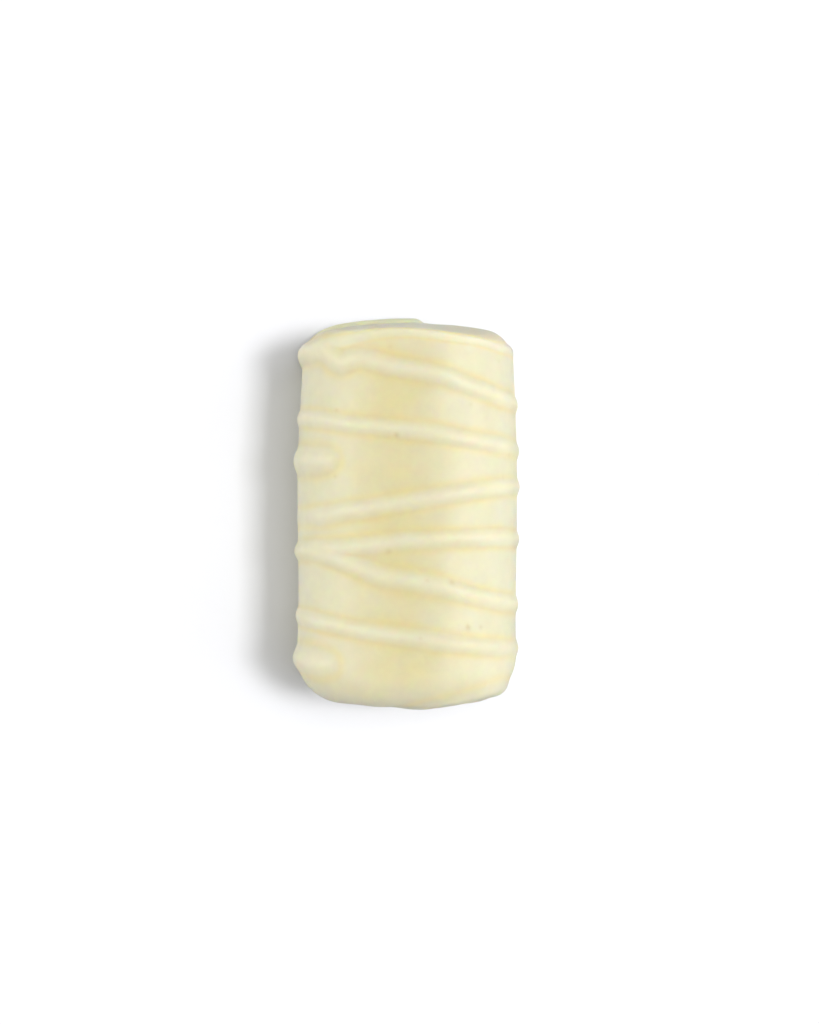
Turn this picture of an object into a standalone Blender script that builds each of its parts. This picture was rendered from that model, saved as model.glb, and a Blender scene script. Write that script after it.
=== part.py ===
"""Mini yule log cake: a short flat-bottomed log, enrobed all over in ivory white chocolate.

A zigzag of the same chocolate lies over it as low rounded ridges, fused with the coat, so the
whole cake is one solid. The log lies along Y and rests on z = 0. Its section is round on top and
boxier below. Both ends are shallow domes: the far one (+Y) has a tight shoulder, the near one (-Y)
a wide soft one. A place on the surface is given by an angle round the log's axis (0 to the right,
90 on top, 180 to the left) and by a run, the distance from mid-length along the surface, which
carries on over the shoulder and down the end face.

The origin is at the centre of the bottom of the cake's box.
"""

import math
from collections import namedtuple

import bmesh
import bpy
import numpy as np

MM = 0.001
RIGHT, LEFT = 0.0, 180.0

# The log under its drizzle.
CORE_LENGTH = 67.8 * MM
CORE_WIDTH = 38.9 * MM
CORE_HEIGHT = 32.6 * MM
AXIS_HEIGHT = 15.0 * MM  # where the log is widest, and where its end faces stand out furthest
CROWN_POWER = 2.2  # superellipse powers: 2 is round, more is boxier
SIDE_POWER = 4.0
SIDE_REACH = 20.0 * MM  # how far below the axis the lower curve would close, were it not cut flat

# Each end is a dome, and its shoulder is tighter on top than at the sides.
DOME_RADIUS = 95.0 * MM
End = namedtuple("End", "tip top_shoulder side_shoulder")
FAR_END = End(CORE_LENGTH / 2, 1.2 * MM, 6.0 * MM)
NEAR_END = End(CORE_LENGTH / 2, 6.5 * MM, 8.4 * MM)

# Unevenness of a hand-made cake.
FAR_NARROWING = 0.045  # the far end is this share narrower
NARROWING_RANGE = (6.0 * MM, 34.0 * MM)
AXIS_LEAN = 0.005  # sideways drift of the axis for each metre along it
Wave = namedtuple("Wave", "height length heading shift")  # a slow swell of the coat along its heading
WAVES = (
    Wave(0.12 * MM, 50.0 * MM, (0.0, 1.0, 0.0), 2.5 * MM),
    Wave(0.06 * MM, 27.0 * MM, (0.8, -0.4, 0.5), 0.0),
    Wave(0.05 * MM, 19.0 * MM, (-0.4, 0.6, 0.7), 4.0 * MM),
)

# The foot: the coat pooled in a bead at the base, and a fallen strand fused along the far left of it.
# Edge loops at the foot levels round them both.
FOOT_LEVELS = (0.4 * MM, 1.0 * MM, 1.6 * MM, 2.1 * MM, 2.45 * MM, 2.75 * MM)
BEAD_HEIGHT = 0.9 * MM
BEAD_THICKNESS = 1.0 * MM
BEAD_SPREAD = 0.5 * MM
LIP_THICKNESS = 2.45 * MM
LIP_SPREAD = 3.0 * MM
LIP_ROUNDING = 0.75  # 1 rounds the lip's edge fully, 0 leaves it square
LIP_ACROSS = (6.3 * MM, 1.3 * MM)  # it starts at the first x and is whole from the second, leftwards
LIP_ALONG = (22.0 * MM, 31.0 * MM)

# The drizzle: each strand is given by its stops, (angle, run in millimetres), from right to left, and
# by its thickness as (angle, share of the usual half width). A thinner strand is flatter too.
RIDGE_HALF_WIDTH = 1.55 * MM
RIDGE_HEIGHT = 0.72 * MM
SIDE_THINNING = 0.2  # share of the height lost where the strand hangs on a side
RIDGE_FILLET = 0.35 * MM
Strand = namedtuple("Strand", "stops thickness")
PASSES = (
    Strand(
        ((0, 29.0), (30, 28.9), (49, 29.7), (64, 30.3), (77, 30.9), (90, 31.2), (104, 30.9), (119, 30.1))
        + ((132, 29.5), (150, 28.8), (180, 28.8)),
        ((0, 0.95), (50, 0.72), (70, 0.62), (122, 0.62), (140, 0.8), (160, 1.0)),
    ),
    Strand(
        ((0, 19.3), (31, 20.1), (48, 21.4), (59, 22.4), (69, 23.5), (84, 24.3), (100, 25.2), (114, 26.4))
        + ((122, 26.4), (128, 25.9), (134, 26.7), (140, 28.0), (146, 28.6), (155, 28.4), (180, 28.4)),
        ((30, 0.9), (85, 1.05), (112, 1.1), (138, 1.12), (160, 1.2)),
    ),
    Strand(
        ((0, 11.1), (39, 12.1), (54, 12.7), (68, 13.4), (80, 14.0), (94, 14.4), (113, 15.1), (126, 15.5))
        + ((142, 16.3), (154, 16.7), (180, 16.8)),
        ((45, 0.9), (90, 1.0), (130, 0.9)),
    ),
    Strand(
        ((0, 4.8), (36, 4.6), (58, 3.7), (72, 3.0), (84, 2.4), (98, 1.7), (110, 1.0), (124, 0.5))
        + ((138, -0.3), (180, -0.8)),
        ((45, 0.9), (95, 1.0)),
    ),
    Strand(
        ((0, -4.5), (38, -4.1), (67, -4.2), (80, -4.4), (93, -4.6), (100, -4.9), (114, -5.4))
        + ((128, -5.8), (145, -6.1), (180, -6.6)),
        ((45, 0.9), (95, 1.0)),
    ),
    Strand(
        ((0, -16.1), (31, -15.3), (48, -14.4), (61, -13.3), (74, -12.2), (87, -11.4), (100, -10.9))
        + ((106, -10.3), (113, -9.5), (120, -8.7), (134, -7.3), (152, -6.3), (180, -6.6)),
        ((50, 0.92), (75, 1.08), (100, 1.15), (130, 1.0)),
    ),
    Strand(
        ((0, -23.7), (39, -23.0), (54, -22.5), (68, -21.9), (80, -21.3), (94, -20.7), (106, -20.2))
        + ((120, -19.6), (134, -18.9), (152, -18.2), (180, -17.9)),
        ((50, 0.9), (90, 1.05), (130, 0.9)),
    ),
)
FADING_PASS = 3  # counted from the far rim: this pass sinks into the coat on the left
FADE_ANGLES = (122.0, 160.0)
FADED_SHARE = 0.12
DRIP_ANGLES = (24.0, 31.0, 19.0, 34.0, 27.0)  # how far round below the widest line the strands drip, in turn
DRIP_THICKNESS = 0.9

# Two short strands that climb the left side and end there in a round dab.
DAB_STOPS = (
    ((134, 9.3), (141, 9.3), (148, 9.3), (162, 9.4), (180, 9.4)),
    ((134, -25.7), (141, -25.6), (148, -25.4), (162, -25.3), (180, -25.6)),
)
DAB_THICKNESS = ((134, 1.15), (141, 1.45), (148, 1.45), (162, 1.2), (180, 0.95))
DAB_HEIGHT = 1.0 * MM

# The last strand leaves the right side, slides over the near shoulder and spreads down the end face.
# Its stops are (angle, run in millimetres, share of the usual height).
LAST_STOPS = (
    ((-28, -31.6, 1.3), (0, -31.5, 1.45), (28, -31.2, 1.45), (38, -31.6, 1.25), (48, -32.4, 1.1))
    + ((59, -33.5, 1.0), (70, -34.5, 1.0))
)
LAST_THICKNESS = 1.25
FACE_DRIP = ((3.0, 27.0, 1.4), (1.2, 23.0, 2.1), (0.8, 18.0, 2.5))  # (x, z, thickness), sizes in millimetres
ROUTE_STEPS = 8

# Mesh density and tolerances.
ANGLE_STEPS = 60
BODY_ROWS = 71
SHOULDER_ROWS = 7
FACE_ROWS = 8
MERGE_GAP = 0.08 * MM
PLANE_GAP = 0.01 * MM
LOWEST_RAISED = 0.2 * MM  # only the base itself touches z = 0

COAT_COLOUR = (0.83, 0.76, 0.50, 1.0)


def smooth_step(low, high, value):
    """0 up to low, 1 from high on, and smooth between them."""
    share = np.clip((value - low) / (high - low), 0, 1)
    return share * share * (3 - 2 * share)


def smooth_max(first, second, blend):
    """The larger of two heights, with a fillet of the blend's size where they cross."""
    nearness = np.clip(1 - np.abs(first - second) / blend, 0, 1)
    return np.maximum(first, second) + nearness * nearness * blend / 4


def section_reach(angle):
    """Distance from the axis to the log's side: round above the axis, boxy below it."""
    above = np.sin(angle) >= 0
    upward = np.where(above, CORE_HEIGHT - AXIS_HEIGHT, SIDE_REACH)
    power = np.where(above, CROWN_POWER, SIDE_POWER)
    sides = np.abs(np.cos(angle) / (CORE_WIDTH / 2)) ** power
    heights = np.abs(np.sin(angle) / upward) ** power
    return (sides + heights) ** (-1 / power)


def shoulder(end, angle):
    """The side's reach, and the radius, the dome's tilt and the first run of the arc that ends it."""
    reach = section_reach(angle)
    sideways = np.where(np.sin(angle) >= 0, np.cos(angle) ** 4, 1.0)
    radius = end.top_shoulder + (end.side_shoulder - end.top_shoulder) * sideways
    tilt = np.arcsin((reach - radius) / (DOME_RADIUS - radius))
    start = end.tip - DOME_RADIUS + (DOME_RADIUS - radius) * np.cos(tilt)
    return reach, radius, tilt, start


def end_profile(end, angle, run):
    """(y, distance from the axis) at a run towards this end: straight side, shoulder arc, then dome."""
    reach, radius, tilt, start = shoulder(end, angle)
    past = run - start
    arc = radius * (math.pi / 2 - tilt)
    turn = np.clip(past / radius, 0, math.pi / 2 - tilt)
    slope = np.clip(tilt - (past - arc) / DOME_RADIUS, 0, tilt)
    zones = [past < 0, past < arc]
    dome_y = end.tip - DOME_RADIUS + DOME_RADIUS * np.cos(slope)
    y = np.select(zones, [run, start + radius * np.sin(turn)], dome_y)
    out = np.select(zones, [reach, reach - radius + radius * np.cos(turn)], DOME_RADIUS * np.sin(slope))
    return y, out


def log_surface(angle, run):
    """Points of the bare log at angles in radians and runs in metres."""
    far_y, far_out = end_profile(FAR_END, angle, run)
    near_y, near_out = end_profile(NEAR_END, angle, -run)
    y = np.where(run >= 0, far_y, -near_y)
    out = np.where(run >= 0, far_out, near_out)
    narrowing = 1 - FAR_NARROWING * smooth_step(*NARROWING_RANGE, y)
    x = out * np.cos(angle) * narrowing + AXIS_LEAN * y
    return np.stack([x, y, AXIS_HEIGHT + out * np.sin(angle)], axis=-1)


def cap_runs(end, angles):
    """Runs of an end's rows of vertices, from near its middle out to the shoulder, and where that starts."""
    _, radius, tilt, start = shoulder(end, angles)
    arc = radius * (math.pi / 2 - tilt)
    face_shares = np.arange(FACE_ROWS, 0, -1)[:, None] / (FACE_ROWS + 1)
    bend_shares = np.arange(SHOULDER_ROWS, 0, -1)[:, None] / SHOULDER_ROWS
    face = start + arc + face_shares * DOME_RADIUS * tilt
    return np.vstack([face, start + bend_shares * arc]), start


def grid_points():
    """The bare log's vertices as rows of rings, from the near end's middle to the far end's."""
    angles = np.linspace(0, 2 * math.pi, ANGLE_STEPS, endpoint=False)
    near, near_start = cap_runs(NEAR_END, angles)
    far, far_start = cap_runs(FAR_END, angles)
    share = np.linspace(0, 1, BODY_ROWS)[:, None]
    body = -near_start + share * (near_start + far_start)
    runs = np.vstack([-near, body, far[::-1]])
    return log_surface(np.broadcast_to(angles, runs.shape), runs)


def bare_log():
    """A mesh of the log without drizzle, cut flat and open at the base, with edge loops along the foot."""
    mesh = bmesh.new()
    rings = [[mesh.verts.new(point) for point in ring] for ring in grid_points()]
    for ring, after in zip(rings, rings[1:]):
        for i in range(ANGLE_STEPS):
            mesh.faces.new((ring[i - 1], after[i - 1], after[i], ring[i]))
    for ring, end_y in ((rings[0], -NEAR_END.tip), (rings[-1], FAR_END.tip)):
        middle = mesh.verts.new((AXIS_LEAN * end_y, end_y, AXIS_HEIGHT))
        for i in range(ANGLE_STEPS):
            corners = (ring[i - 1], ring[i], middle)
            mesh.faces.new(corners if end_y < 0 else corners[::-1])
    cut_level(mesh, 0.0, clear_below=True)
    for level in FOOT_LEVELS:
        cut_level(mesh, level, clear_below=False)
    bmesh.ops.remove_doubles(mesh, verts=mesh.verts, dist=MERGE_GAP)
    bmesh.ops.dissolve_degenerate(mesh, edges=mesh.edges, dist=PLANE_GAP)
    mesh.normal_update()
    return mesh


def cut_level(mesh, level, clear_below):
    """Add an edge loop at a height, and drop what is below it if asked."""
    everything = mesh.verts[:] + mesh.edges[:] + mesh.faces[:]
    bmesh.ops.bisect_plane(
        mesh,
        geom=everything,
        dist=PLANE_GAP,
        plane_co=(0, 0, level),
        plane_no=(0, 0, 1),
        clear_inner=clear_below,
    )


def curve_through(points, steps):
    """A smooth (Catmull-Rom) curve through the points, with this many steps between neighbours."""
    points = np.array(points, dtype=float)
    padded = np.vstack([2 * points[0] - points[1], points, 2 * points[-1] - points[-2]])
    share = (np.arange(steps) / steps)[:, None]
    pieces = []
    for before, start, end, after in zip(padded, padded[1:], padded[2:], padded[3:]):
        bend = 2 * before - 5 * start + 4 * end - after
        twist = 3 * start - before - 3 * end + after
        pieces.append(start + 0.5 * share * (end - before + share * (bend + share * twist)))
    return np.vstack([*pieces, points[-1:]])


def on_log(angle, run, height, thickness):
    """A strand's point at an angle in degrees and a run, as (x, y, z, height, half width)."""
    return (*log_surface(np.radians(angle), np.array(run)), height, thickness * RIDGE_HALF_WIDTH)


def on_near_face(x, z, thickness):
    """A strand's point on the dome of the near end, as (x, y, z, height, half width)."""
    out_squared = x * x + (z - AXIS_HEIGHT) ** 2
    y = DOME_RADIUS - NEAR_END.tip - math.sqrt(DOME_RADIUS**2 - out_squared)
    return (x, y, z, RIDGE_HEIGHT, thickness * RIDGE_HALF_WIDTH)


def drip_angle(turn):
    """How far below the widest line a strand's end runs down, varied from one end to the next."""
    return DRIP_ANGLES[turn % len(DRIP_ANGLES)]


def pass_points(number, strand):
    """A pass from its drip on the right to its drip on the left."""
    (_, first_run), (_, last_run) = strand.stops[0], strand.stops[-1]
    right_drip = (RIGHT - drip_angle(2 * number), first_run)
    left_drip = (LEFT + drip_angle(2 * number + 1), last_run)
    points = []
    for angle, run in (right_drip, *strand.stops, left_drip):
        thickness = np.interp(angle, *zip(*strand.thickness))
        sideways = 1 - max(0, math.sin(math.radians(angle)))
        height = RIDGE_HEIGHT * thickness**2 * (1 - SIDE_THINNING * sideways)
        if number == FADING_PASS:
            height *= 1 - (1 - FADED_SHARE) * smooth_step(*FADE_ANGLES, angle)
        points.append(on_log(angle, run * MM, height, thickness))
    return points


def dab_points(number, stops):
    """A short strand from its round end up on the left side to its drip."""
    drip = (LEFT + drip_angle(number), stops[-1][1])
    thickness = dict(DAB_THICKNESS)
    return [
        on_log(angle, run * MM, DAB_HEIGHT, thickness.get(angle, DRIP_THICKNESS))
        for angle, run in (*stops, drip)
    ]


def last_points():
    """The last strand: over the near shoulder from the right side, then down the near end face."""
    over = [
        on_log(angle, run * MM, share * RIDGE_HEIGHT, LAST_THICKNESS)
        for angle, run, share in LAST_STOPS
    ]
    return over + [on_near_face(x * MM, z * MM, thickness) for x, z, thickness in FACE_DRIP]


def drizzle_strands():
    """Each strand of the drizzle as a dense curve of (x, y, z, height, half width) along its centre line."""
    strokes = [pass_points(number, strand) for number, strand in enumerate(PASSES)]
    strokes += [dab_points(number, stops) for number, stops in enumerate(DAB_STOPS)]
    strokes.append(last_points())
    return [curve_through(points, ROUTE_STEPS) for points in strokes]


def ridge_height(points, strand):
    """How far a strand stands above the coat at each point: a parabola across it, below zero beside it."""
    centres, section = strand[:, :3], strand[:, 3:]
    tallest = np.full(len(points), -RIDGE_HEIGHT)
    for i in range(len(strand) - 1):
        step = centres[i + 1] - centres[i]
        offset = points - centres[i]
        share = np.clip(offset @ step / (step @ step), 0, 1)[:, None]
        height, half_width = (section[i] + share * (section[i + 1] - section[i])).T
        gap = offset - share * step
        distance_squared = np.einsum("ij,ij->i", gap, gap)
        tallest = np.maximum(tallest, height * (1 - distance_squared / half_width**2))
    return tallest


def relief(points):
    """Height of the coat's outer face over the bare log: gentle waves, and the drizzle's ridges."""
    swell = np.zeros(len(points))
    for wave in WAVES:
        travel = points @ np.array(wave.heading) + wave.shift
        swell += wave.height * np.sin(2 * math.pi * travel / wave.length)
    ridges = np.zeros(len(points))
    for strand in drizzle_strands():
        ridges = smooth_max(ridges, ridge_height(points, strand), RIDGE_FILLET)
    return ridges + swell


def foot_spread(points):
    """How far the pooled coat stands out sideways at each point near the base."""
    x, y, z = points.T
    bead = BEAD_SPREAD * np.exp(-(((z - BEAD_HEIGHT) / BEAD_THICKNESS) ** 2))
    lip_level = 2 * z / LIP_THICKNESS - 1
    lip = LIP_SPREAD * np.sqrt(np.clip(1 - lip_level**2 * LIP_ROUNDING, 0, 1))
    return bead + lip * smooth_step(*LIP_ACROSS, x) * smooth_step(*LIP_ALONG, y)


def dress(mesh):
    """Raise the drizzle and the foot from the bare log, then close the base."""
    points = np.array([vertex.co for vertex in mesh.verts])
    normals = np.array([vertex.normal for vertex in mesh.verts])
    sideways = normals * (1, 1, 0)
    moved = points + normals * relief(points)[:, None] + sideways * foot_spread(points)[:, None]
    on_base = points[:, 2] < PLANE_GAP
    moved[:, 2] = np.where(on_base, 0, np.maximum(moved[:, 2], LOWEST_RAISED))
    for vertex, place in zip(mesh.verts, moved):
        vertex.co = place
    base = bmesh.ops.holes_fill(mesh, edges=[edge for edge in mesh.edges if edge.is_boundary])["faces"]
    bmesh.ops.poke(mesh, faces=base)
    bmesh.ops.recalc_face_normals(mesh, faces=mesh.faces)


def centre_on_base(mesh):
    """Move the cake so that the origin is at the centre of the bottom of its box."""
    points = np.array([vertex.co for vertex in mesh.verts])
    middle = (points.min(axis=0) + points.max(axis=0)) / 2
    bmesh.ops.translate(mesh, verts=mesh.verts, vec=(-middle[0], -middle[1], 0))


def white_chocolate():
    """Ivory white chocolate with a soft sheen."""
    material = bpy.data.materials.new("white_chocolate")
    material.use_nodes = True
    shader = material.node_tree.nodes["Principled BSDF"]
    shader.inputs["Base Color"].default_value = COAT_COLOUR
    shader.inputs["Roughness"].default_value = 0.45
    shader.inputs["Metallic"].default_value = 0.0
    return material


def build():
    """Model the cake in an empty scene."""
    for item in list(bpy.data.objects):
        bpy.data.objects.remove(item, do_unlink=True)
    mesh = bare_log()
    dress(mesh)
    centre_on_base(mesh)
    data = bpy.data.meshes.new("yule_log")
    mesh.to_mesh(data)
    mesh.free()
    data.materials.append(white_chocolate())
    data.shade_smooth()
    data.set_sharp_from_angle(angle=math.radians(50))
    bpy.context.scene.collection.objects.link(bpy.data.objects.new("yule_log", data))


build()
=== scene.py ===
# %% [markdown]
# # A mini yule log cake in ivory white chocolate
#
# The cake is a short log, about 71 mm long and 41 mm wide, dipped whole in white chocolate. A zigzag
# of the same chocolate was drizzled over it while it lay on its base. Coat and drizzle set as one
# skin, so they are one mesh here. All the character is in soft relief and in how light sinks into
# the chocolate, so most of the cells below are about those two things.
#
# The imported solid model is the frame. It fixes where the cake is and how big it is, and its box is
# kept here to compare with the finished cake at the end.

# %% Load the frame
import math
from collections import namedtuple

import bmesh
import bpy
import numpy as np
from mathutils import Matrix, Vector


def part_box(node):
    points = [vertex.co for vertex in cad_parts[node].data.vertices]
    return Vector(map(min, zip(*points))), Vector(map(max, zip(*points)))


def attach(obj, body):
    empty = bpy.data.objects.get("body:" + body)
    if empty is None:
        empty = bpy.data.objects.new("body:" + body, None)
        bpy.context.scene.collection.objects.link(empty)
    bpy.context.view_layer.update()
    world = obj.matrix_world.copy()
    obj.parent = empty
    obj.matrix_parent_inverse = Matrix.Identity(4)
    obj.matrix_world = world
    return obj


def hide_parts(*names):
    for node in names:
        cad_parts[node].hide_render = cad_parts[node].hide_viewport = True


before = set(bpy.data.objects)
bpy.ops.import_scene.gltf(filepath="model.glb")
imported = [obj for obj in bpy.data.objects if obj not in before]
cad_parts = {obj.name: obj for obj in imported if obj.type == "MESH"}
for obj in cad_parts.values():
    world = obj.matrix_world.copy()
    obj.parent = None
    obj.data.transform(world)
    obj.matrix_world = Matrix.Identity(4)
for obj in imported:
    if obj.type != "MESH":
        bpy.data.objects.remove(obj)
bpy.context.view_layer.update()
MM = 0.001
log_low, log_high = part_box("yule_log")
print("the cake's box in mm:", [round(side / MM, 1) for side in log_high - log_low])

# %% [markdown]
# ## The camera
#
# The photograph looks straight down on the cake from about 40 cm, with the cake's length upright in
# the frame. A Blender camera with no rotation looks along -Z with +Y up, which is just that view. The
# cake isn't quite in the middle of the picture, so the camera stands half a millimetre beside it.
#
# Blender fits the sensor's width to the longer side of the picture, which is its height here.

# %% Camera
CAMERA_PLACE = (0.54 * MM, -0.51 * MM, 400 * MM)
SENSOR_HEIGHT = 36.0
LENS = 76.07
CLIP_RANGE = (10 * MM, 100.0)

camera_data = bpy.data.cameras.new("overhead_camera")
camera_data.sensor_width = SENSOR_HEIGHT
camera_data.lens = LENS
camera_data.clip_start, camera_data.clip_end = CLIP_RANGE
camera = bpy.data.objects.new("overhead_camera", camera_data)
camera.location = CAMERA_PLACE
bpy.context.scene.collection.objects.link(camera)
bpy.context.scene.camera = camera
floor_seen = CAMERA_PLACE[2] * SENSOR_HEIGHT / LENS
print("the camera sees", round(floor_seen / MM), "mm of floor from top to bottom")

# %% [markdown]
# ## The floor
#
# A white sweep runs on under the cake so far that no edge shows from the side. It could be a plane
# scaled up, but one square of mesh at its true size has nothing to apply later. It lies a hair below
# the cake's base, so that the two faces don't lie in the same plane and flicker.
#
# The white of the photograph is that of a product picture: its ground is paler in the picture than it
# was for the cake, or the ends of the cake would be as light as its top. The Light Path node tells
# the two apart. The camera sees a white floor, and the cake gets the light of a grey one.

# %% Helpers for materials
def principled(name):
    """A new material, and the Principled shader in it."""
    material = bpy.data.materials.new(name)
    material.use_nodes = True
    return material, material.node_tree.nodes["Principled BSDF"]


def mix_colour(tree, share, first, second):
    """A mix node between two colours, each a plain colour or another node's output."""
    node = tree.nodes.new("ShaderNodeMix")
    node.data_type = "RGBA"
    tree.links.new(share, node.inputs["Factor"])
    for socket, colour in (("A", first), ("B", second)):
        target = next(item for item in node.inputs if item.name == socket and item.type == "RGBA")
        if isinstance(colour, bpy.types.NodeSocket):
            tree.links.new(colour, target)
        else:
            target.default_value = colour
    return next(item for item in node.outputs if item.type == "RGBA")


print("material helpers:", principled.__name__, mix_colour.__name__)

# %% Floor
FLOOR_HALF_WIDTH = 12.0
FLOOR_DROP = 0.05 * MM
FLOOR_WHITE = (0.79, 0.795, 0.825, 1.0)
FLOOR_GREY = (0.5, 0.5, 0.5, 1.0)
FLOOR_ROUGHNESS = 0.9


def white_floor():
    """A large matte white square for the cake to stand on."""
    reach = FLOOR_HALF_WIDTH
    corners = [(-reach, -reach, 0), (reach, -reach, 0), (reach, reach, 0), (-reach, reach, 0)]
    data = bpy.data.meshes.new("floor")
    data.from_pydata(corners, [], [(0, 1, 2, 3)])
    material, shader = principled("floor_white")
    seen = material.node_tree.nodes.new("ShaderNodeLightPath").outputs["Is Camera Ray"]
    ground = mix_colour(material.node_tree, seen, FLOOR_GREY, FLOOR_WHITE)
    material.node_tree.links.new(ground, shader.inputs["Base Color"])
    shader.inputs["Roughness"].default_value = FLOOR_ROUGHNESS
    shader.inputs["Specular IOR Level"].default_value = 0.0
    data.materials.append(material)
    floor = bpy.data.objects.new("floor", data)
    floor.location.z = -FLOOR_DROP
    bpy.context.scene.collection.objects.link(floor)


white_floor()
print("floor laid, in metres from side to side:", 2 * FLOOR_HALF_WIDTH)

# %% [markdown]
# ## The light
#
# White chocolate is read by its reflections: in the photograph a broad pale band lies along each side
# of the log, with a deeper yellow band between them where nothing bright is mirrored. So the softboxes
# that the coat mirrors are off to the right and to the left. The light from above, and the lamp that
# casts the soft-edged shadow, are hidden from reflections. The lamp could be a sun, but a square
# area light gives the shadow the same soft edge as in the photograph.
#
# All but two hang at one height as rectangles in a level ceiling. Each is given by the angles from
# straight up that it spans, rightwards and towards the far end, as the cake sees them. The strengths
# began as a least-squares fit to the photograph and were then trimmed.

# %% Ceiling panels
CEILING_HEIGHT = 2.5
Panel = namedtuple("Panel", "name across along radiance mirrored")
PANELS = (
    Panel("shadow_lamp", (18.0, 30.0), (-5.5, 6.5), 44.0, False),
    Panel("overhead_softbox", (0.0, 32.0), (-22.0, 24.0), 3.35, False),
    Panel("side_softbox", (-45.0, 0.0), (-20.0, 26.0), 0.45, False),
    Panel("right_softbox", (32.0, 48.0), (-24.0, 30.0), 2.3, True),
    Panel("outer_right_softbox", (48.0, 76.0), (-26.0, 32.0), 1.7, True),
    Panel("left_softbox", (-76.0, -45.0), (-26.0, 32.0), 1.4, True),
)


def area_light(name, width, height, radiance, mirrored):
    """A rectangular area light of a given radiance, unseen by the camera."""
    data = bpy.data.lights.new(name, "AREA")
    data.shape = "RECTANGLE"
    data.size = width
    data.size_y = height
    data.energy = radiance * math.pi * width * height
    light = bpy.data.objects.new(name, data)
    light.visible_camera = False
    light.visible_glossy = mirrored
    bpy.context.scene.collection.objects.link(light)
    return light


def hang_panel(panel):
    """A level light that fills the panel's span of angles, facing down."""
    left, right = (CEILING_HEIGHT * math.tan(math.radians(angle)) for angle in panel.across)
    near, far = (CEILING_HEIGHT * math.tan(math.radians(angle)) for angle in panel.along)
    light = area_light(panel.name, right - left, far - near, panel.radiance, panel.mirrored)
    light.location = ((left + right) / 2, (near + far) / 2, CEILING_HEIGHT)


for each in PANELS:
    hang_panel(each)
print("ceiling panels:", [each.name for each in PANELS])

# %% [markdown]
# Two more stand upright far out, as low as windows, and keep the flanks of the log light. The left one
# is the stronger, because the lamp is on the right, and both are a little towards the far end, which
# leaves the near end in soft shade. A dim grey world fills what no light reaches.

# %% Standing softboxes and world
STAND_DISTANCE = 10.0
STAND_HEIGHT = 2.1
STAND_TOWARDS_FAR_END = 3.5
STANDS = (("left_stand", -1, 9.2), ("right_stand", 1, 3.6))
WORLD_GREY = 0.02

for name, side, radiance in STANDS:
    stand = area_light(name, 2 * STAND_DISTANCE, STAND_HEIGHT, radiance, False)
    stand.location = (side * STAND_DISTANCE, STAND_TOWARDS_FAR_END, STAND_HEIGHT / 2)
    stand.rotation_euler = Vector((side, 0, 0)).to_track_quat("Z", "Y").to_euler()

world = bpy.data.worlds.new("studio")
world.use_nodes = True
background = world.node_tree.nodes["Background"]
background.inputs["Color"].default_value = (WORLD_GREY, WORLD_GREY, WORLD_GREY, 1.0)
bpy.context.scene.world = world
bpy.context.scene.view_settings.view_transform = "Standard"
print("softboxes standing:", [name for name, _, _ in STANDS])

# %% [markdown]
# ## The bare log
#
# Under its drizzle the log is a loaf-like bar: round on top, boxier below and cut flat where it
# stands. A subdivided box could be pushed into that shape by hand, but a superellipse gives such a
# section from one formula, with one power for the crown and another for the sides.

# %% Section of the log
CORE_WIDTH = 38.9 * MM
CORE_HEIGHT = 32.6 * MM
AXIS_HEIGHT = 15.0 * MM
CROWN_POWER = 2.2
SIDE_POWER = 4.0
SIDE_REACH = 20.0 * MM


def section_reach(angle):
    """Distance from the axis to the log's side."""
    above = np.sin(angle) >= 0
    upward = np.where(above, CORE_HEIGHT - AXIS_HEIGHT, SIDE_REACH)
    power = np.where(above, CROWN_POWER, SIDE_POWER)
    sides = np.abs(np.cos(angle) / (CORE_WIDTH / 2)) ** power
    heights = np.abs(np.sin(angle) / upward) ** power
    return (sides + heights) ** (-1 / power)


print("from the axis to the log's side in mm:", round(float(section_reach(0.0)) / MM, 2))

# %% [markdown]
# Each end is a shallow dome, and an arc turns the side into it: tight round the top of the far end,
# where the rim is crisp, and wide at the near end and at the sides. A place on the surface is given by
# an angle round the log and a run along it. The run simply carries on over the shoulder and down the
# end face, so a strand of drizzle can be drawn over an edge without a second set of rules.

# %% Ends of the log
CORE_LENGTH = 67.8 * MM
End = namedtuple("End", "tip dome top_shoulder side_shoulder")
FAR_END = End(CORE_LENGTH / 2, 80.0 * MM, 0.8 * MM, 6.0 * MM)
NEAR_END = End(CORE_LENGTH / 2, 95.0 * MM, 6.5 * MM, 8.4 * MM)
SIDEWAYS_POWER = 4


def shoulder(end, angle):
    """The side's reach, and the radius, the dome's tilt and the first run of the arc that ends it."""
    reach = section_reach(angle)
    sideways = np.where(np.sin(angle) >= 0, np.cos(angle) ** SIDEWAYS_POWER, 1.0)
    radius = end.top_shoulder + (end.side_shoulder - end.top_shoulder) * sideways
    tilt = np.arcsin((reach - radius) / (end.dome - radius))
    start = end.tip - end.dome + (end.dome - radius) * np.cos(tilt)
    return reach, radius, tilt, start


def end_profile(end, angle, run):
    """(y, distance from the axis) at a run towards this end: straight side, shoulder arc, then dome."""
    reach, radius, tilt, start = shoulder(end, angle)
    past = run - start
    arc = radius * (math.pi / 2 - tilt)
    turn = np.clip(past / radius, 0, math.pi / 2 - tilt)
    slope = np.clip(tilt - (past - arc) / end.dome, 0, tilt)
    zones = [past < 0, past < arc]
    dome_y = end.tip - end.dome + end.dome * np.cos(slope)
    y = np.select(zones, [run, start + radius * np.sin(turn)], dome_y)
    out = np.select(zones, [reach, reach - radius + radius * np.cos(turn)], end.dome * np.sin(slope))
    return y, out


for name, end in (("far", FAR_END), ("near", NEAR_END)):
    top_start = float(shoulder(end, math.pi / 2)[3])
    print(f"the top starts to round at the {name} end", round(top_start / MM, 1), "mm from the middle")

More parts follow.
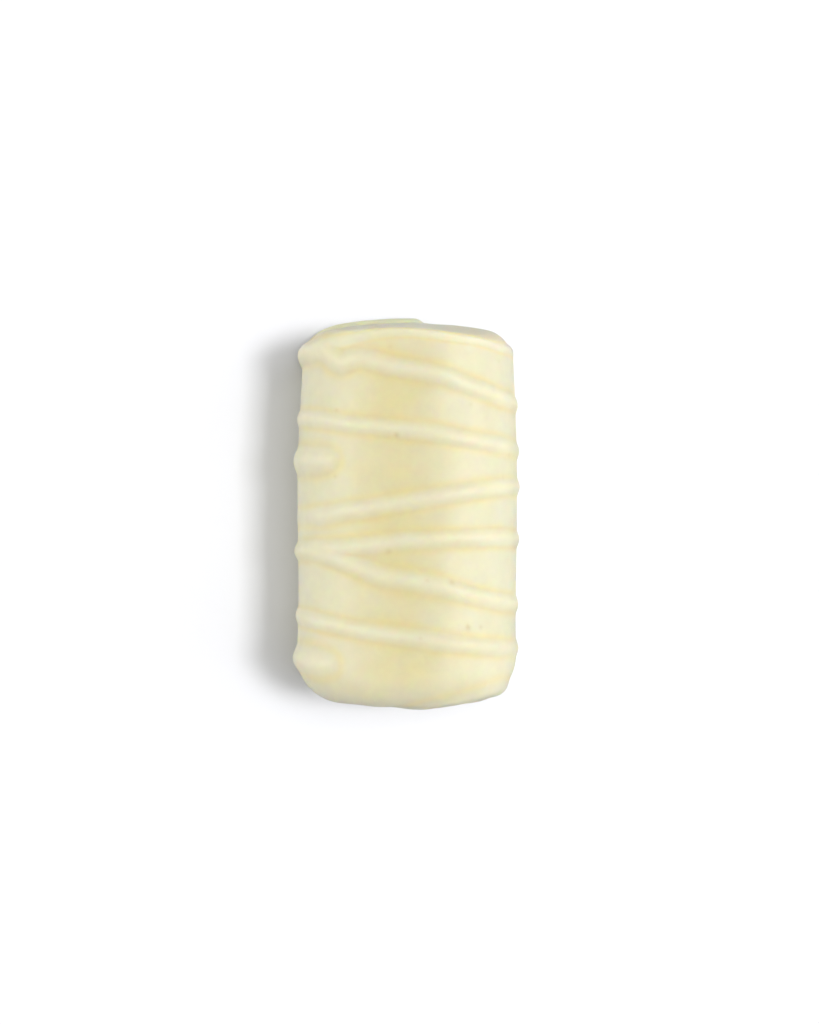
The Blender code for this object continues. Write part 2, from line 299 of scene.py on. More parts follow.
# %% [markdown]
# No hand-made log is a true bar. This one narrows by a few hundredths towards the far end, and its
# axis leans by a fraction of a degree. Its far rim is drawn back, most on the right, so that a sliver
# of the end face shows from above. A lattice could bend a finished mesh like that, but here the same
# formula that places the vertices does it, so the strands that cross the log later follow along.

# %% Surface of the log
FAR_NARROWING = 0.045
NARROWING_RANGE = (6.0 * MM, 34.0 * MM)
AXIS_LEAN = 0.005
RIM_DRAWN_BACK = (0.2 * MM, 0.95 * MM)
RIM_ACROSS = (-4.0 * MM, 12.0 * MM)
RIM_RUN = (29.4 * MM, 32.0 * MM)
RIM_HEIGHTS = (19.0 * MM, 28.0 * MM)


def smooth_step(low, high, value):
    """0 up to low, 1 from high on, and smooth between them."""
    share = np.clip((value - low) / (high - low), 0, 1)
    return share * share * (3 - 2 * share)


def rim_drawn_back(x, y, z):
    """How far the far rim is drawn back towards the middle at each point."""
    left, right = RIM_DRAWN_BACK
    depth = left + (right - left) * smooth_step(*RIM_ACROSS, x)
    return depth * smooth_step(*RIM_RUN, y) * smooth_step(*RIM_HEIGHTS, z)


def log_surface(angle, run):
    """Points of the bare log at angles in radians and runs in metres."""
    far_y, far_out = end_profile(FAR_END, angle, run)
    near_y, near_out = end_profile(NEAR_END, angle, -run)
    y = np.where(run >= 0, far_y, -near_y)
    out = np.where(run >= 0, far_out, near_out)
    narrowing = 1 - FAR_NARROWING * smooth_step(*NARROWING_RANGE, y)
    x = out * np.cos(angle) * narrowing + AXIS_LEAN * y
    z = AXIS_HEIGHT + out * np.sin(angle)
    return np.stack([x, y - rim_drawn_back(x, y, z), z], axis=-1)


top_middle = log_surface(np.array(math.pi / 2), np.array(0.0))
print("the top of the bare log in mm:", round(top_middle[2] / MM, 2))

# %% [markdown]
# ## A net of vertices
#
# The net is dense, because everything on it is soft relief: its rows are a quarter of a millimetre
# apart, a twelfth of a strand's width. A coarse mesh with a Subdivision Surface modifier could be as
# dense, but the vertices that the relief raises wouldn't be there until it is applied. The top half has
# more columns than the lower half, which is seen less, and each end has rows of its own round the
# shoulder and over the dome.

# %% Columns and rows of the net
TOP_COLUMNS = 216
LOWER_COLUMNS = 90
BODY_ROWS = 236
SHOULDER_ROWS = 18
FACE_ROWS = 26


def net_angles():
    """Angles of the columns, from the right side over the top and back below."""
    top = np.linspace(0, math.pi, TOP_COLUMNS, endpoint=False)
    lower = np.linspace(math.pi, 2 * math.pi, LOWER_COLUMNS, endpoint=False)
    return np.concatenate([top, lower])


def cap_runs(end, angles):
    """Runs of an end's rows, from near its middle out to the shoulder, and where that starts."""
    _, radius, tilt, start = shoulder(end, angles)
    arc = radius * (math.pi / 2 - tilt)
    face_shares = np.arange(FACE_ROWS, 0, -1)[:, None] / (FACE_ROWS + 1)
    bend_shares = np.arange(SHOULDER_ROWS, 0, -1)[:, None] / SHOULDER_ROWS
    face = start + arc + face_shares * end.dome * tilt
    return np.vstack([face, start + bend_shares * arc]), start


def net_points(angles):
    """The bare log's vertices as rows of rings, from the near end's middle to the far end's."""
    near, near_start = cap_runs(NEAR_END, angles)
    far, far_start = cap_runs(FAR_END, angles)
    share = np.linspace(0, 1, BODY_ROWS)[:, None]
    body = -near_start + share * (near_start + far_start)
    runs = np.vstack([-near, body, far[::-1]])
    return log_surface(np.broadcast_to(angles, runs.shape), runs)


print("columns round the log:", len(net_angles()))

# %% [markdown]
# The rings are joined by faces and closed at both ends by a fan. The closed net is then cut at z = 0
# with bmesh's bisect, because the real log is flat where it stands, and the same tool adds a few extra
# loops near the base that will round the foot.

# %% Mesh of the bare log
FOOT_LEVELS = np.linspace(0.3, 3.0, 10) * MM
MERGE_GAP = 0.03 * MM
PLANE_GAP = 0.004 * MM


def cut_level(mesh, level, clear_below):
    """Add an edge loop at a height, and drop what is below it if asked."""
    everything = mesh.verts[:] + mesh.edges[:] + mesh.faces[:]
    bmesh.ops.bisect_plane(
        mesh,
        geom=everything,
        dist=PLANE_GAP,
        plane_co=(0, 0, level),
        plane_no=(0, 0, 1),
        clear_inner=clear_below,
    )


def bare_log():
    """A mesh of the log without drizzle, cut flat and open at the base."""
    angles = net_angles()
    columns = len(angles)
    mesh = bmesh.new()
    rings = [[mesh.verts.new(point) for point in ring] for ring in net_points(angles)]
    for ring, after in zip(rings, rings[1:]):
        for i in range(columns):
            mesh.faces.new((ring[i - 1], after[i - 1], after[i], ring[i]))
    for ring, end_y in ((rings[0], -NEAR_END.tip), (rings[-1], FAR_END.tip)):
        middle = mesh.verts.new((AXIS_LEAN * end_y, end_y, AXIS_HEIGHT))
        for i in range(columns):
            corners = (ring[i - 1], ring[i], middle)
            mesh.faces.new(corners if end_y < 0 else corners[::-1])
    cut_level(mesh, 0.0, clear_below=True)
    for level in FOOT_LEVELS:
        cut_level(mesh, level, clear_below=False)
    bmesh.ops.remove_doubles(mesh, verts=mesh.verts, dist=MERGE_GAP)
    mesh.normal_update()
    return mesh


coat = bare_log()
print("vertices in the bare log:", len(coat.verts))

# %% [markdown]
# ## The drizzle
#
# The hand went back and forth across the log, so most strands are one pass from side to side, with a
# drip that hangs on below the widest line at each end. A strand could be a curve object with a round
# bevel laid on the log, but then it would meet the coat in a hard line. Here it is only a route and a
# size at each point of it, which the coat's own vertices are raised to further down.
#
# A strand is given by its stops, each an angle round the log and a run along it in millimetres, and by
# how thick it is at a few angles; a thinner strand is flatter too. Most of the stops below were worked
# out by another script: a peak search found the strands' crests in the photograph, and they were then
# carried over to the log as angles and runs. The rest were set one by one.

# %% Strands that cross the log
Strand = namedtuple("Strand", "stops thickness")
PASSES = (
    Strand(
        ((0, 29.0), (30, 28.9), (49, 29.7), (64, 30.3), (77, 30.9), (90, 31.2), (104, 30.9), (119, 30.1))
        + ((132, 29.5), (150, 28.8), (180, 28.8)),
        ((0, 0.85), (30, 0.5), (50, 0.42), (122, 0.5), (140, 0.8), (160, 1.05)),
    ),
    Strand(
        ((0, 19.3), (31, 20.1), (48, 21.4), (59, 22.4), (69, 23.5), (84, 24.3), (100, 25.2), (114, 26.4))
        + ((122, 26.4), (128, 25.9), (134, 26.7), (140, 28.0), (146, 28.6), (155, 28.4), (180, 28.4)),
        ((30, 0.9), (85, 1.05), (112, 1.05), (128, 1.2), (146, 1.25), (160, 1.3), (180, 1.4)),
    ),
    Strand(
        ((0, 11.1), (39, 12.1), (54, 12.7), (68, 13.4), (80, 14.0), (94, 14.4), (113, 15.1), (126, 15.5))
        + ((142, 16.3), (154, 16.7), (180, 16.8)),
        ((45, 0.9), (90, 1.0), (130, 0.9)),
    ),
    Strand(
        ((0, 4.8), (36, 4.6), (58, 3.7), (72, 3.0), (84, 2.4), (98, 1.7), (110, 1.0), (124, 0.5))
        + ((138, -0.3), (180, -0.8)),
        ((45, 0.9), (95, 1.0)),
    ),
    Strand(
        ((0, -4.5), (38, -4.1), (67, -4.2), (80, -4.4), (93, -4.6), (100, -4.9), (114, -5.4))
        + ((128, -5.8), (145, -6.1), (180, -6.6)),
        ((45, 0.9), (95, 1.0)),
    ),
    Strand(
        ((0, -16.1), (31, -15.3), (48, -14.4), (61, -13.3), (74, -12.2), (87, -11.4), (100, -10.9))
        + ((106, -10.3), (113, -9.5), (120, -8.7), (134, -7.3), (152, -6.3), (180, -6.6)),
        ((50, 0.92), (75, 1.08), (100, 1.15), (130, 1.0)),
    ),
    Strand(
        ((0, -23.7), (39, -23.0), (54, -22.5), (68, -21.9), (80, -21.3), (94, -20.7), (106, -20.2))
        + ((120, -19.6), (134, -18.9), (152, -18.2), (180, -17.9)),
        ((50, 0.9), (90, 1.05), (130, 0.9)),
    ),
)
print("strands that cross:", len(PASSES))

# %% [markdown]
# Three more strands don't cross. Two climb the left side and end there in a round dab, where the hand
# turned and the chocolate ran together. The last one leaves the right side, slides over the near
# shoulder and spreads down the end face; the third number of its stops is its share of the usual
# height.

# %% Dabs and the last strand
DAB_STOPS = (
    ((134, 9.3), (141, 9.3), (148, 9.3), (162, 9.4), (180, 9.4)),
    ((134, -25.7), (141, -25.6), (148, -25.4), (162, -25.3), (180, -25.6)),
)
DAB_THICKNESS = ((134, 1.2), (141, 1.45), (148, 1.5), (162, 1.45), (180, 1.35))
DAB_WIDEST = 1.5
DAB_HEIGHT = 0.88 * MM
LAST_STOPS = (
    ((-28, -31.6, 1.3), (0, -31.5, 1.45), (28, -31.2, 1.45), (38, -31.6, 1.25), (48, -32.4, 1.1))
    + ((59, -33.5, 1.0), (70, -34.5, 1.0))
)
LAST_THICKNESS = 1.25
FACE_DRIP = ((3.0, 27.0, 1.4), (1.2, 23.0, 2.1), (0.8, 18.0, 2.5))
print("dabs:", len(DAB_STOPS), "and stops of the last strand:", len(LAST_STOPS) + len(FACE_DRIP))

# %% [markdown]
# A smooth curve is put through each strand's stops. Blender's own curves could do it, but then each
# strand would have to be an object first. Its points carry the strand's height and half width along,
# so both swell and thin out smoothly too.

# %% Points of a strand
RIDGE_HALF_WIDTH = 1.55 * MM
RIDGE_HEIGHT = 0.46 * MM
ROUTE_STEPS = 8


def curve_through(points, steps):
    """A smooth (Catmull-Rom) curve through the points, with this many steps between neighbours."""
    points = np.array(points, dtype=float)
    padded = np.vstack([2 * points[0] - points[1], points, 2 * points[-1] - points[-2]])
    share = (np.arange(steps) / steps)[:, None]
    pieces = []
    for before, start, end, after in zip(padded, padded[1:], padded[2:], padded[3:]):
        bend = 2 * before - 5 * start + 4 * end - after
        twist = 3 * start - before - 3 * end + after
        pieces.append(start + 0.5 * share * (end - before + share * (bend + share * twist)))
    return np.vstack([*pieces, points[-1:]])


def on_log(angle, run, height, thickness):
    """A strand's point at an angle in degrees and a run, as (x, y, z, height, half width)."""
    return (*log_surface(np.radians(angle), np.array(run)), height, thickness * RIDGE_HALF_WIDTH)


def on_near_face(x, z, thickness):
    """A strand's point on the dome of the near end, as (x, y, z, height, half width)."""
    out_squared = x * x + (z - AXIS_HEIGHT) ** 2
    y = NEAR_END.dome - NEAR_END.tip - math.sqrt(NEAR_END.dome**2 - out_squared)
    return (x, y, z, RIDGE_HEIGHT, thickness * RIDGE_HALF_WIDTH)


print("a strand of usual thickness in mm:", round(2 * RIDGE_HALF_WIDTH / MM, 2))

# %% [markdown]
# At the sides a strand swells, because the chocolate slid down and gathered there, and it ends in a
# drip. The drips are uneven, as poured ones are: their lengths follow one short list in turn. One
# pass, the fourth, fades out on the left, where it melted into the coat.

# %% Centre lines
RIGHT, LEFT = 0.0, 180.0
SIDE_SWELLING = 0.27
FADING_PASS = 3
FADE_ANGLES = (122.0, 160.0)
FADED_SHARE = 0.12
DRIP_ANGLES = (24.0, 31.0, 19.0, 34.0, 27.0)
DRIP_THICKNESS = 0.9


def drip_angle(turn):
    """How far below the widest line a strand's end runs down, varied from one end to the next."""
    return DRIP_ANGLES[turn % len(DRIP_ANGLES)]


def pass_points(number, strand):
    """A pass from its drip on the right to its drip on the left."""
    (_, first_run), (_, last_run) = strand.stops[0], strand.stops[-1]
    right_drip = (RIGHT - drip_angle(2 * number), first_run)
    left_drip = (LEFT + drip_angle(2 * number + 1), last_run)
    points = []
    for angle, run in (right_drip, *strand.stops, left_drip):
        thickness = np.interp(angle, *zip(*strand.thickness))
        sideways = 1 - max(0, math.sin(math.radians(angle)))
        height = RIDGE_HEIGHT * thickness**2 * (1 + SIDE_SWELLING * sideways)
        if number == FADING_PASS:
            height *= 1 - (1 - FADED_SHARE) * smooth_step(*FADE_ANGLES, angle)
        points.append(on_log(angle, run * MM, height, thickness))
    return points


def dab_points(number, stops):
    """A short strand from its round end up on the left side to its drip."""
    drip = (LEFT + drip_angle(number), stops[-1][1])
    points = []
    for angle, run in (*stops, drip):
        thickness = dict(DAB_THICKNESS).get(angle, DRIP_THICKNESS)
        height = DAB_HEIGHT * (thickness / DAB_WIDEST) ** 2
        points.append(on_log(angle, run * MM, height, thickness))
    return points


def last_points():
    """The last strand: over the near shoulder from the right side, then down the near end face."""
    over = [
        on_log(angle, run * MM, share * RIDGE_HEIGHT, LAST_THICKNESS)
        for angle, run, share in LAST_STOPS
    ]
    return over + [on_near_face(x * MM, z * MM, thickness) for x, z, thickness in FACE_DRIP]


def drizzle_strands():
    """Each strand as a dense curve of (x, y, z, height, half width) along its centre line."""
    strokes = [pass_points(number, strand) for number, strand in enumerate(PASSES)]
    strokes += [dab_points(number, stops) for number, stops in enumerate(DAB_STOPS)]
    strokes.append(last_points())
    return [curve_through(points, ROUTE_STEPS) for points in strokes]


strands = drizzle_strands()
print("strands of drizzle:", len(strands))

# %% [markdown]
# ## Ridges from the centre lines
#
# A strand that sets on a wet coat keeps a round back and flows out softly at its edges. Each vertex
# asks for its distance to every centre line, and a bell-shaped profile turns that distance into a
# height. Where two strands run into each other their heights melt together, a little above the taller
# one. Raising the coat's own vertices keeps the skin in one piece, as the real one is.

# %% Profile of a strand
SKIRT = 1.35
REACH_OF_STRAND = 7.0 * MM
BESIDE = -9.0


def near_strand(points, strand):
    """Which points are close enough to a strand to be moved by it."""
    low = strand[:, :3].min(axis=0) - REACH_OF_STRAND
    high = strand[:, :3].max(axis=0) + REACH_OF_STRAND
    return np.all((points > low) & (points < high), axis=1)


def strand_profile(points, strand):
    """A strand's height over the coat, and how far in each point lies: 1 on the crest, 0 at the edge."""
    centres, section = strand[:, :3], strand[:, 3:]
    tallest = np.zeros(len(points))
    inside = np.full(len(points), BESIDE)
    for i in range(len(strand) - 1):
        step = centres[i + 1] - centres[i]
        offset = points - centres[i]
        share = np.clip(offset @ step / (step @ step), 0, 1)[:, None]
        height, half_width = (section[i] + share * (section[i + 1] - section[i])).T
        gap = offset - share * step
        spread = np.einsum("ij,ij->i", gap, gap) / half_width**2
        tallest = np.maximum(tallest, height * np.clip(1 - spread / SKIRT**2, 0, 1) ** 2)
        inside = np.maximum(inside, 1 - spread)
    return tallest, inside


print("a ridge with its soft skirt in mm:", round(2 * SKIRT * RIDGE_HALF_WIDTH / MM, 2))

# %% Ridge heights
MELT_POWER = 4


def melt_together(first, second):
    """The height of two ridges that run into each other: the taller one, and more where they are level."""
    return (first**MELT_POWER + second**MELT_POWER) ** (1 / MELT_POWER)


def drizzle_relief(points):
    """Height of the ridges at each point, and how far inside the nearest strand it lies."""
    ridges = np.zeros(len(points))
    inside = np.full(len(points), BESIDE)
    for strand in strands:
        close = near_strand(points, strand)
        height, depth = strand_profile(points[close], strand)
        ridges[close] = melt_together(ridges[close], height)
        inside[close] = np.maximum(inside[close], depth)
    return ridges, inside


bare_points = np.array([vertex.co for vertex in coat.verts])
bare_normals = np.array([vertex.normal for vertex in coat.verts])
ridge_heights, strand_inside = drizzle_relief(bare_points)
print("tallest ridge in mm:", round(ridge_heights.max() / MM, 2))

# %% [markdown]
# ## The coat's unevenness
#
# A dipped coat is never quite even. Long slow swells are the marks of the sponge beneath and of the
# chocolate running off, and on the end faces it left soft upright runs. A Displace modifier with a
# clouds texture could make swells too, but sine waves along headings of their own are easier to keep
# as long and as low as the real ones, and they don't line up.

# %% Swells
Wave = namedtuple("Wave", "height length heading shift")
WAVES = (
    Wave(0.12 * MM, 50.0 * MM, (0.0, 1.0, 0.0), 2.5 * MM),
    Wave(0.06 * MM, 27.0 * MM, (0.8, -0.4, 0.5), 0.0),
    Wave(0.05 * MM, 19.0 * MM, (-0.4, 0.6, 0.7), 4.0 * MM),
)


def swells(points):
    """Slow rises and dips of the coat."""
    total = np.zeros(len(points))
    for wave in WAVES:
        travel = points @ np.array(wave.heading) + wave.shift
        total += wave.height * np.sin(2 * math.pi * travel / wave.length)
    return total


print("longest swell in mm:", round(max(wave.length for wave in WAVES) / MM))

# %% Runs on the end faces
RUN_HEIGHT = 0.07 * MM
RUN_SPACING = 10.5 * MM
RUN_FINE_SPACING = 6.1 * MM
RUN_FINE_SHARE = 0.5
RUN_SWAY = 0.9 * MM
RUN_SWAY_LENGTH = 24.0 * MM
RUN_FADE = (32.2 * MM, 33.4 * MM)


def end_runs(points):
    """Soft upright waves on the end faces, where the coat ran down, unlike at the two ends."""
    x, y, z = points.T
    on_face = smooth_step(*RUN_FADE, np.abs(y))
    sway = RUN_SWAY * np.sin(2 * math.pi * z / RUN_SWAY_LENGTH + np.sign(y))
    wide = np.sin(2 * math.pi * (x + sway) / RUN_SPACING + np.sign(y))
    fine = np.sin(2 * math.pi * (x - sway) / RUN_FINE_SPACING)
    return on_face * RUN_HEIGHT * (wide + RUN_FINE_SHARE * fine)


coat_swells = swells(bare_points) + end_runs(bare_points)
print("lowest and highest swell in mm:", np.round([coat_swells.min() / MM, coat_swells.max() / MM], 2))

# %% [markdown]
# ## Small flaws
#
# Bubbles burst in the coat as it set and left pinholes, one of them with a raised ring round it, and a
# few crumbs lie under the skin as nubs. Two broad dents look like touches made while it set. Flaws like
# these tell the eye that the thing is small and was made by hand. Bump alone could draw them, but here
# they are in the mesh, so they are part of the shape too. Those that show best were picked in the
# photograph and carried over to the log. Each is an angle in degrees, then a run, a radius and a height
# in millimetres. A few finer ones are scattered.

# %% Pinholes, nubs and dents
Flaw = namedtuple("Flaw", "angle run radius height")
FLAWS = (
    Flaw(96.0, 13.4, 0.45, -0.13),
    Flaw(65.0, -11.6, 0.42, -0.11),
    Flaw(55.8, -19.3, 0.42, -0.11),
    Flaw(47.8, -19.4, 0.36, -0.09),
    Flaw(100.0, -6.3, 1.15, 0.07),
    Flaw(100.0, -6.3, 0.7, -0.14),
    Flaw(63.0, -3.8, 0.8, 0.12),
    Flaw(41.5, -29.1, 0.4, 0.1),
    Flaw(23.3, -10.1, 0.4, 0.1),
    Flaw(80.5, -24.5, 0.4, 0.09),
)
DENTS = (
    Flaw(61.8, 16.9, 2.2, -0.12),
    Flaw(133.0, -21.5, 2.8, -0.12),
)
SCATTERED_FLAWS = 26
SCATTER_SEED = 12
SCATTER_ANGLES = (-30, 210)
SCATTER_RUNS = (-32, 32)
SCATTER_DEPTHS = (0.03, 0.07)
SCATTER_RADIUS = 0.35


def scattered_flaws():
    """Fine pinholes at random places all over the sides and the top."""
    draw = np.random.default_rng(SCATTER_SEED)
    angles = draw.uniform(*SCATTER_ANGLES, SCATTERED_FLAWS)
    runs = draw.uniform(*SCATTER_RUNS, SCATTERED_FLAWS)
    depths = draw.uniform(*SCATTER_DEPTHS, SCATTERED_FLAWS)
    return [Flaw(angle, run, SCATTER_RADIUS, -depth) for angle, run, depth in zip(angles, runs, depths)]


def flaw_relief(points, flaws):
    """Height of the flaws at each point: soft round dips and bumps."""
    total = np.zeros(len(points))
    for flaw in flaws:
        middle = log_surface(np.radians(flaw.angle), np.array(flaw.run * MM))
        spread = ((points - middle) ** 2).sum(axis=1) / (flaw.radius * MM) ** 2
        total += flaw.height * MM * np.exp(-spread)
    return total


small_flaws = flaw_relief(bare_points, [*FLAWS, *scattered_flaws()])
coat_heights = ridge_heights + coat_swells + small_flaws + flaw_relief(bare_points, DENTS)
print("lowest and highest relief in mm:", np.round([coat_heights.min() / MM, coat_heights.max() / MM], 2))

# %% [markdown]
# ## The foot
#
# Chocolate that ran off pooled in a low bead round the base, and a fallen strand set as a lip along
# the left of the far end. Either could be a tube of its own pushed against the log, with a seam where
# they meet. Pushing the lowest few loops outwards instead makes them part of the coat.

# %% Foot
BEAD_HEIGHT = 0.9 * MM
BEAD_THICKNESS = 1.0 * MM
BEAD_SPREAD = 0.5 * MM
LIP_THICKNESS = 2.45 * MM
LIP_SPREAD = 3.0 * MM
LIP_ROUNDING = 0.75
LIP_ACROSS = (6.3 * MM, 1.3 * MM)
LIP_ALONG = (22.0 * MM, 31.0 * MM)


def foot_spread(points):
    """How far the pooled coat stands out sideways at each point near the base."""
    x, y, z = points.T
    bead = BEAD_SPREAD * np.exp(-(((z - BEAD_HEIGHT) / BEAD_THICKNESS) ** 2))
    lip_level = 2 * z / LIP_THICKNESS - 1
    lip = LIP_SPREAD * np.sqrt(np.clip(1 - lip_level**2 * LIP_ROUNDING, 0, 1))
    return bead + lip * smooth_step(*LIP_ACROSS, x) * smooth_step(*LIP_ALONG, y)


foot = foot_spread(bare_points)
print("widest foot in mm:", round(foot.max() / MM, 2))

# %% [markdown]
# ## Raising the relief
#
# Every vertex moves along its own normal by the relief, and sideways by the foot. The loop at the
# base stays on the floor and is closed with one fan of faces. A Displace modifier would do the first
# part, but not the foot. At last the cake is set in the middle of the frame's box, and drawn in
# wherever it would stand out of it.

# %% Raise the relief and close the base
LOWEST_RAISED = 0.12 * MM
BASE_GAP = 0.01 * MM


def raise_relief(mesh):
    """Move the vertices out by the relief and the foot, then close the base."""
    sideways = bare_normals * (1, 1, 0)
    moved = bare_points + bare_normals * coat_heights[:, None] + sideways * foot[:, None]
    on_base = bare_points[:, 2] < BASE_GAP
    moved[:, 2] = np.where(on_base, 0, np.maximum(moved[:, 2], LOWEST_RAISED))
    for vertex, place in zip(mesh.verts, moved):
        vertex.co = place
    base = bmesh.ops.holes_fill(mesh, edges=[edge for edge in mesh.edges if edge.is_boundary])["faces"]
    bmesh.ops.poke(mesh, faces=base)
    bmesh.ops.recalc_face_normals(mesh, faces=mesh.faces)


def fit_to_frame(mesh):
    """Centre the cake in the frame's box, and draw it in wherever it would stand out of it."""
    points = np.array([vertex.co for vertex in mesh.verts])
    low, high = np.array(log_low), np.array(log_high)
    shrink = np.minimum(1, (high - low) / (points.max(axis=0) - points.min(axis=0)))
    anchor = (points.min(axis=0) + points.max(axis=0)) / 2 * (1, 1, 0)
    points = (points - anchor) * shrink + (low + high) / 2 * (1, 1, 0)
    for vertex, place in zip(mesh.verts, points):
        vertex.co = place
    return shrink


raise_relief(coat)
print("drawn in by:", np.round(fit_to_frame(coat), 4))

# %% [markdown]
# ## Marks for the colour
#
# The backs of strands look paler than the coat. The deeper yellow in the creases beside them and the
# darker brown in the pinholes are painted shade. The top is painted more golden, partly because the
# sponge shows through its thinner coat a little, and partly as painted shade where the top mirrors
# nothing bright. These could be painted on by hand as vertex colours, but the script knows the shape
# already. So the mesh carries four marks worked out from it: how high a point is on a strand, how near
# it is to a crease, how golden the top is painted, and how deep a pinhole is. A named attribute on the
# vertices is all that a material needs to read them.

# %% Mesh object with its marks
# The crease mark paints a deeper yellow beside each strand as painted shade.
CREASE_SHADE_PLACE = 1.35
CREASE_SHADE_WIDTH = 0.38
CREASE_SHADE_STRENGTH = 0.6
# The golden top is partly painted shade, where the top mirrors nothing bright.
GOLDEN_TOP_PLACE = math.radians(97)
GOLDEN_TOP_REACH = math.radians(26)
GOLDEN_TOP_FADE = (25.0 * MM, 34.0 * MM)
# The pit mark paints the pinholes darker as painted shade.
PIT_DEPTH = 0.13 * MM


def golden_top_shade_mark(points):
    """Share of the golden top, partly thin coat and partly painted shade: most along the log's top."""
    angle = np.arctan2(points[:, 2] - AXIS_HEIGHT, points[:, 0])
    fade = 1 - smooth_step(*GOLDEN_TOP_FADE, np.abs(points[:, 1]))
    return fade * np.exp(-(((angle - GOLDEN_TOP_PLACE) / GOLDEN_TOP_REACH) ** 2))


def coat_marks():
    """The marks of every vertex that the relief has moved."""
    distance = np.sqrt(1 - strand_inside)
    return {
        "ridge": np.clip(strand_inside, 0, 1),
        "crease_shade": CREASE_SHADE_STRENGTH * np.exp(-(((distance - CREASE_SHADE_PLACE) / CREASE_SHADE_WIDTH) ** 2)),
        "top_gold_shade": golden_top_shade_mark(bare_points),
        "pit_shade": np.clip(-small_flaws / PIT_DEPTH, 0, 1),
    }


def coat_object(mesh):
    """The cake as an object, with its marks on its vertices and none on the base's middle."""
    data = bpy.data.meshes.new("white_chocolate_coat")
    mesh.to_mesh(data)
    mesh.free()
    data.shade_smooth()
    unmarked = np.zeros(len(data.vertices) - len(bare_points))
    for name, values in coat_marks().items():
        mark = data.attributes.new(name, "FLOAT", "POINT")
        mark.data.foreach_set("value", np.concatenate([values, unmarked]).astype(np.float32))
    cake = bpy.data.objects.new("white_chocolate_coat", data)
    bpy.context.scene.collection.objects.link(cake)
    return cake


cake = coat_object(coat)
print("triangles:", sum(len(face.vertices) - 2 for face in cake.data.polygons))

# %% [markdown]
# ## White chocolate
#
# White chocolate is mostly cocoa butter, sugar and milk. Light goes a few millimetres into it and
# comes out warmer, and the surface on top has the soft gloss of well-tempered fat. The Principled
# shader does both: subsurface scattering for the depth, and a plain gloss for the skin.
#
# Up close even a smooth coat isn't one colour. The fat and the milk set in faint cloudy patches, the
# skin has the slight orange peel of a thick liquid that stopped flowing, and its gloss comes and goes.
# A photograph laid on as a texture could show that, but it would need an unwrapped mesh and would show
# its seams. Noise textures in the cake's own space look the same from every side, and their scale is
# a real size: clouds of centimetres, mottling of millimetres and grain of a fraction of one.

# %% Marks and noise as numbers
NOISE_USUAL = (0.3, 0.7)
SOFT_DETAIL = 2.0
FINE_DETAIL = 4.0


def vertex_mark(tree, name):
    """A named mark of the mesh as a number."""
    node = tree.nodes.new("ShaderNodeAttribute")
    node.attribute_name = name
    return node.outputs["Fac"]


def noise(tree, size, detail=SOFT_DETAIL):
    """Soft noise in the cake's own space, with lumps of this size."""
    node = tree.nodes.new("ShaderNodeTexNoise")
    node.inputs["Scale"].default_value = 1 / size
    node.inputs["Detail"].default_value = detail
    place = tree.nodes.new("ShaderNodeTexCoord").outputs["Object"]
    tree.links.new(place, node.inputs["Vector"])
    return node.outputs["Fac"]


def ranged(tree, value, limits):
    """Noise spread over a range of values."""
    node = tree.nodes.new("ShaderNodeMapRange")
    node.inputs["From Min"].default_value, node.inputs["From Max"].default_value = NOISE_USUAL
    node.inputs["To Min"].default_value, node.inputs["To Max"].default_value = limits
    tree.links.new(value, node.inputs["Value"])
    return node.outputs["Result"]


def multiplied(tree, first, second):
    """A node's output times a number or another node's output."""
    node = tree.nodes.new("ShaderNodeMath")
    node.operation = "MULTIPLY"
    tree.links.new(first, node.inputs[0])
    if isinstance(second, bpy.types.NodeSocket):
        tree.links.new(second, node.inputs[1])
    else:
        node.inputs[1].default_value = second
    return node.outputs["Value"]


print("noise is spread from", NOISE_USUAL[0], "to", NOISE_USUAL[1])

# %% [markdown]
# The colours go on one over the other: the coat, golden in clouds along the top, partly for the thinner
# coat there and partly as painted shade, then the creases' painted shade, the strands, and the pinholes'
# painted shade. A faint mottling goes over all of them. A colour ramp over one mask would be fewer
# nodes, but each of these has a place of its own.

# %% Colours of the coat
COAT_IVORY = (0.628, 0.608, 0.445, 1.0)
# Gold painted along the top: partly a thinner coat, partly painted shade.
TOP_SHADE_GOLD = (0.64, 0.588, 0.36, 1.0)
# Deeper yellow painted into the creases as shade.
CREASE_SHADE_YELLOW = (0.665, 0.592, 0.318, 1.0)
STRAND_CREAM = (0.628, 0.608, 0.46, 1.0)
# Brown painted into the pinholes as shade.
PIT_SHADE_BROWN = (0.5, 0.42, 0.21, 1.0)
PIT_SHADE_SHARE = 0.55
CLOUD_SIZE = 11.0 * MM
CLOUD_RANGE = (0.72, 1.2)
MOTTLE_SIZE = 2.6 * MM
VALUE_RANGE = (0.978, 1.022)
TINT_SIZE = 5.5 * MM
SATURATION_RANGE = (0.94, 1.07)


def mottled(tree, colour):
    """A colour with faint patches, some paler and some yellower."""
    node = tree.nodes.new("ShaderNodeHueSaturation")
    tree.links.new(colour, node.inputs["Color"])
    value = ranged(tree, noise(tree, MOTTLE_SIZE, FINE_DETAIL), VALUE_RANGE)
    saturation = ranged(tree, noise(tree, TINT_SIZE), SATURATION_RANGE)
    tree.links.new(value, node.inputs["Value"])
    tree.links.new(saturation, node.inputs["Saturation"])
    return node.outputs["Color"]


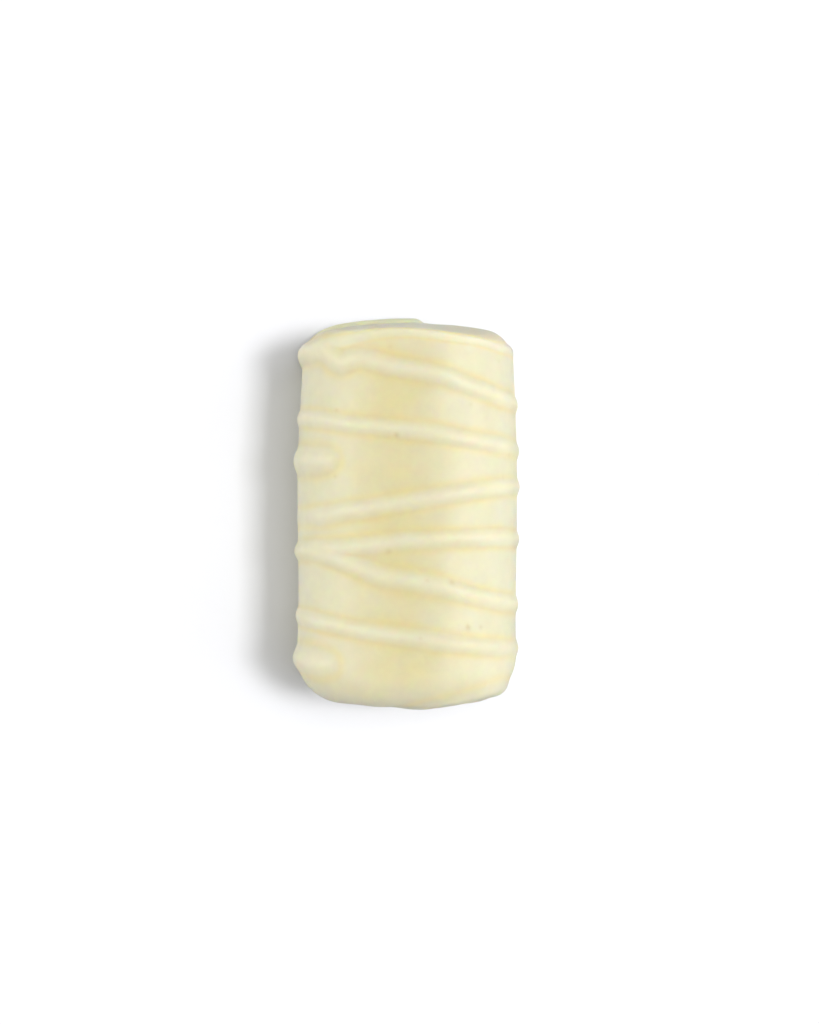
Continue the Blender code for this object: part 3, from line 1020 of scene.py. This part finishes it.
def coat_colours(tree):
    """Ivory, golden on top, paler on strands, and painted shade in the creases, pinholes and on the top.
    """
    clouds = ranged(tree, noise(tree, CLOUD_SIZE), CLOUD_RANGE)
    # The golden top mark: in part painted shade.
    golden_shade = multiplied(tree, vertex_mark(tree, "top_gold_shade"), clouds)
    # Pinholes darkened as painted shade.
    shaded_pits = multiplied(tree, vertex_mark(tree, "pit_shade"), PIT_SHADE_SHARE)
    colour = mix_colour(tree, golden_shade, COAT_IVORY, TOP_SHADE_GOLD)
    # Creases deepened as painted shade.
    colour = mix_colour(tree, vertex_mark(tree, "crease_shade"), colour, CREASE_SHADE_YELLOW)
    colour = mix_colour(tree, vertex_mark(tree, "ridge"), colour, STRAND_CREAM)
    colour = mix_colour(tree, shaded_pits, colour, PIT_SHADE_BROWN)
    return mottled(tree, colour)


print("clouds in the golden coat, in mm:", round(CLOUD_SIZE / MM, 1))

# %% [markdown]
# The last things are the skin and the glow. The orange peel is too shallow and the grain too fine to be
# worth vertices, so two bump nodes, one on the other, give them. The glow has a radius of its own for
# red, green and blue. Blue light travels least far in the coat, so what comes out of it is warmer.

# %% White chocolate material
GLOW_COLOURS = (1.0, 0.6, 0.2)
GLOW_DEPTH = 7.0 * MM
GLOW_SHARE = 1.0
GLOSS_SIZE = 3.8 * MM
GLOSS_RANGE = (0.285, 0.355)
PEEL_SIZE = 1.5 * MM
PEEL_DEPTH = 0.022 * MM
GRAIN_SIZE = 0.35 * MM
GRAIN_DEPTH = 0.0035 * MM


def bumped(tree, height, depth, normal=None):
    """A bump node's normal for a height map of this depth, on top of another bump's normal."""
    node = tree.nodes.new("ShaderNodeBump")
    node.inputs["Distance"].default_value = depth
    tree.links.new(height, node.inputs["Height"])
    if normal:
        tree.links.new(normal, node.inputs["Normal"])
    return node.outputs["Normal"]


def white_chocolate():
    """Ivory white chocolate with depth, a soft uneven gloss and a faint orange peel."""
    material, shader = principled("white_chocolate")
    tree = material.node_tree
    tree.links.new(coat_colours(tree), shader.inputs["Base Color"])
    tree.links.new(ranged(tree, noise(tree, GLOSS_SIZE), GLOSS_RANGE), shader.inputs["Roughness"])
    peel = bumped(tree, noise(tree, PEEL_SIZE), PEEL_DEPTH)
    grain = bumped(tree, noise(tree, GRAIN_SIZE), GRAIN_DEPTH, peel)
    tree.links.new(grain, shader.inputs["Normal"])
    shader.inputs["Subsurface Weight"].default_value = GLOW_SHARE
    shader.inputs["Subsurface Radius"].default_value = GLOW_COLOURS
    shader.inputs["Subsurface Scale"].default_value = GLOW_DEPTH
    return material


cake.data.materials.append(white_chocolate())
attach(cake, "root")
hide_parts("yule_log")
print("nodes in the white chocolate:", len(cake.data.materials[0].node_tree.nodes))
